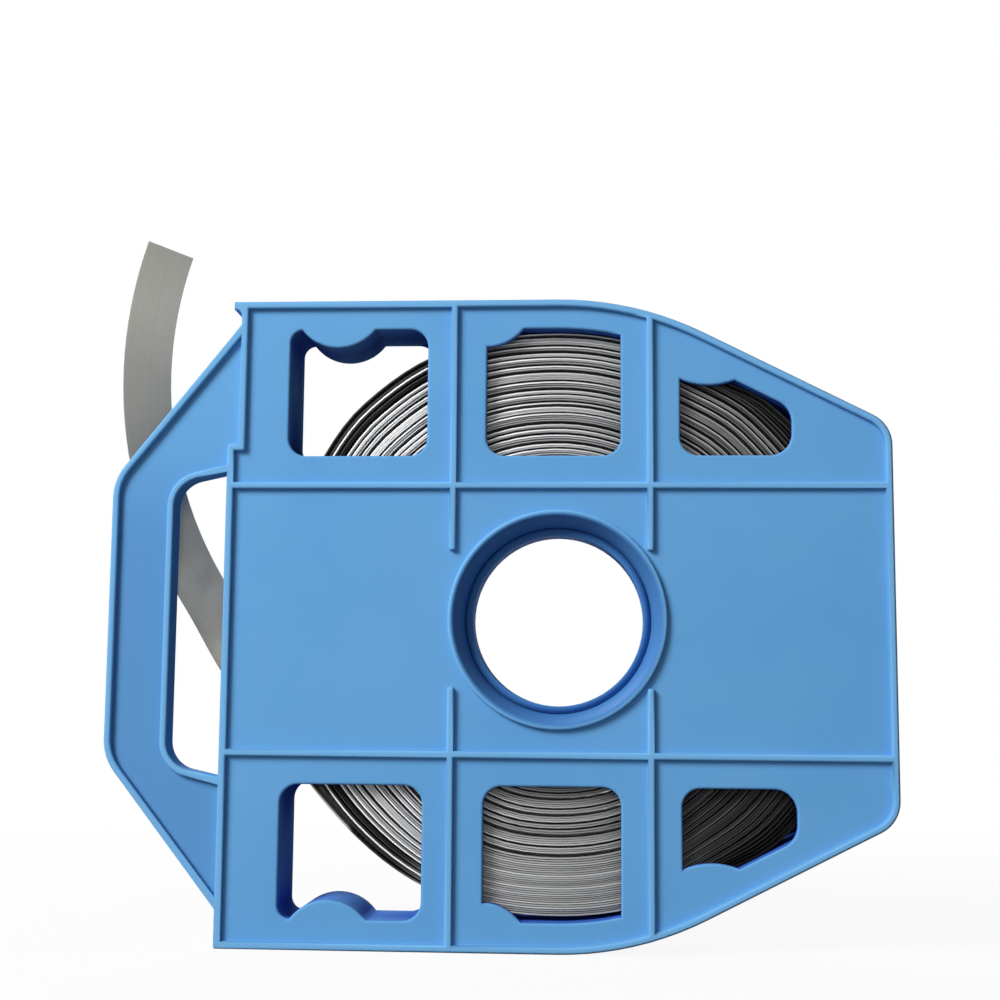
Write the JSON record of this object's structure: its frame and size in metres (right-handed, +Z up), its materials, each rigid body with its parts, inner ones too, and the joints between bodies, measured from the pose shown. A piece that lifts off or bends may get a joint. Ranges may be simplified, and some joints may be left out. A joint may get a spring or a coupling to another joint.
{
  "type": "steel banding coil in carry case",
  "caption": "Coil of flat steel banding in a moulded plastic carry case with windows, a hub bore and a carrying handle, its free end led out at the side.",
  "frame": {"origin": "on the floor under the hub axis, on the parting plane of the two half shells", "axes": "+X to the nose of the case, away from the handle; +Y along the hub axis, from the front shell to the rear one; +Z up"},
  "size_m": [0.3023, 0.036, 0.2772],
  "materials": {
    "case_plastic": "light blue moulded polypropylene, satin",
    "band_steel": "bright rolled strip, slit edges"
  },
  "bodies": {
    "root": {"front_shell": "case_plastic", "rear_shell": "case_plastic", "steel_band": "band_steel"}
  },
  "joints": []
}
